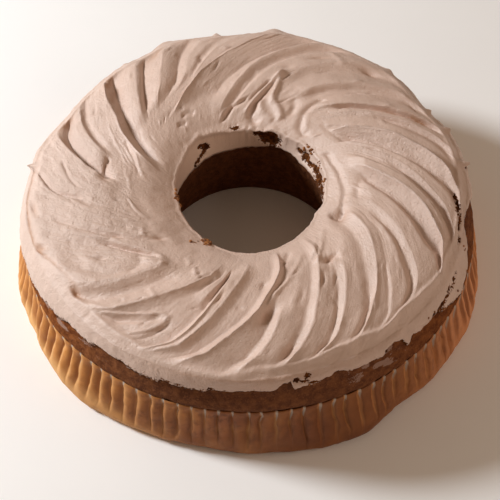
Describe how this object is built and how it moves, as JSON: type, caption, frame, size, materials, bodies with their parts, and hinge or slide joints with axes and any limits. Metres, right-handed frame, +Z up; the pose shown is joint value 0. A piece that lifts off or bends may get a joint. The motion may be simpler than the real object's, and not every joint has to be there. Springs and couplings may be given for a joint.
{
  "type": "coffee ring cake",
  "caption": "Uncut sponge ring in a pleated paper case, its top spread with coffee icing drawn by a knife into a swirl of ridges round the hole.",
  "frame": {"origin": "on the table, in the middle of the hole", "axes": "+Z up, -Y towards the front of the cake as pictured, +X to its right"},
  "size_m": [0.1981, 0.1984, 0.0572],
  "materials": {
    "sponge": "browned cake crust, matt",
    "case_paper": "greaseproof paper, browned by baking",
    "icing": "whipped coffee icing, soft sheen"
  },
  "bodies": {
    "root": {"sponge_ring": "sponge", "paper_case": "case_paper", "coffee_icing": "icing"}
  },
  "joints": []
}
